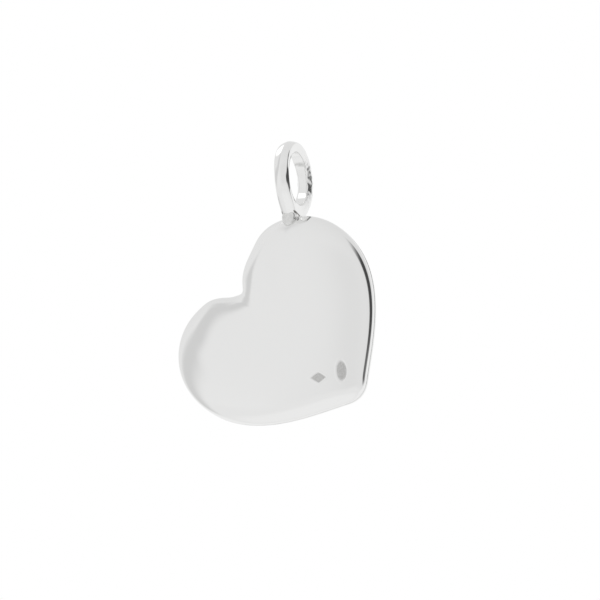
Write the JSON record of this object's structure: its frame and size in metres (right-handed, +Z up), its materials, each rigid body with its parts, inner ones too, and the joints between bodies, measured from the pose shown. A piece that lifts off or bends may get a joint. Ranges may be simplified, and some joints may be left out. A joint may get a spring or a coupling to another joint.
{
  "type": "heart pendant",
  "caption": "Puffed heart pendant of domed silver shells soldered at the rim, hung askew from a plain round bail ring soldered on one lobe, square to the face.",
  "frame": {"origin": "where a chain carries the pendant: the top of the hole in the bail ring, in the middle of the band", "axes": "+Z up as it hangs, -Y out of the marked back, +X to the right seen from that side and along the bail ring's axis"},
  "size_m": [0.0156, 0.0058, 0.0217],
  "materials": {
    "polished_silver": "mirror-polished silver with faint wear",
    "silver_solder": "filed and polished silver solder, a little duller"
  },
  "bodies": {
    "root": {"back_shell": "polished_silver", "front_shell": "polished_silver", "rim_seam": "silver_solder", "bail_ring": "polished_silver", "bail_solder": "silver_solder"}
  },
  "joints": []
}
